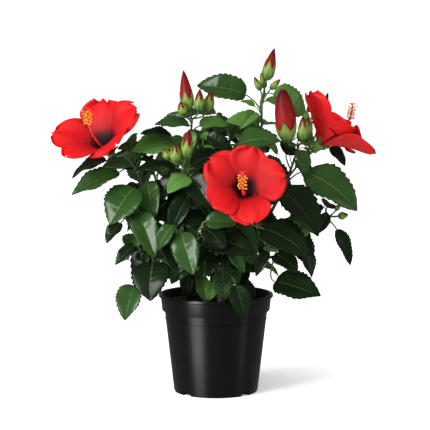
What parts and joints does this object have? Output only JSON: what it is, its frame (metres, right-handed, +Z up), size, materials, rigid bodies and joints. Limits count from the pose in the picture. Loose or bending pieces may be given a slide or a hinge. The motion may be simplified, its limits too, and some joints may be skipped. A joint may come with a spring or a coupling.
{
  "type": "potted hibiscus shrub",
  "caption": "Leafy hibiscus shrub on several woody stems with open red blooms and sprays of buds, standing in a round black nursery pot filled with soil.",
  "frame": {"origin": "middle of the pot's flat underside, on the ground", "axes": "+Z up; +X to the right and -Y to the front, as the plant is pictured"},
  "size_m": [0.365, 0.2739, 0.393],
  "materials": {
    "pot": "semi-matt moulded black plastic",
    "soil": "loose dark peat and bark potting soil",
    "bark": "grey-brown young bark",
    "leaf": "dark green leaves with a waxy shine",
    "petal": "soft scarlet petals",
    "bud": "green calyces and closed buds"
  },
  "bodies": {
    "root": {"pot": "pot", "soil": "soil", "stem_left": "bark", "stem_front": "bark", "stem_right": "bark", "stem_back": "bark", "bough_left_bloom": "bark", "bough_upper_left": "bark", "bough_left_middle": "bark", "bough_low_left": "bark", "bough_back_left": "bark", "bough_front": "bark", "bough_middle_left": "bark", "bough_front_low": "bark", "bough_front_left_low": "bark", "bough_top": "bark", "bough_upper_right": "bark", "bough_right": "bark", "bough_low_right": "bark", "bough_back_low_right": "bark", "bough_centre": "bark", "bough_back_top": "bark", "bough_back_right": "bark", "bough_back_middle": "bark", "bough_back_low_left": "bark", "bloom_front": "petal", "bloom_left": "petal", "bloom_right": "petal", "buds_top": "bud", "buds_left": "bud", "buds_middle": "bud", "buds_right": "bud", "buds_far_right": "bud", "buds_low": "bud", "leaves_left_bloom": "leaf", "leaves_upper_left": "leaf", "leaves_left_middle": "leaf", "leaves_low_left": "leaf", "leaves_back_left": "leaf", "leaves_front": "leaf", "leaves_middle_left": "leaf", "leaves_front_low": "leaf", "leaves_front_left_low": "leaf", "leaves_top": "leaf", "leaves_upper_right": "leaf", "leaves_right": "leaf", "leaves_low_right": "leaf", "leaves_back_low_right": "leaf", "leaves_centre": "leaf", "leaves_back_top": "leaf", "leaves_back_right": "leaf", "leaves_back_middle": "leaf", "leaves_back_low_left": "leaf"}
  },
  "joints": []
}
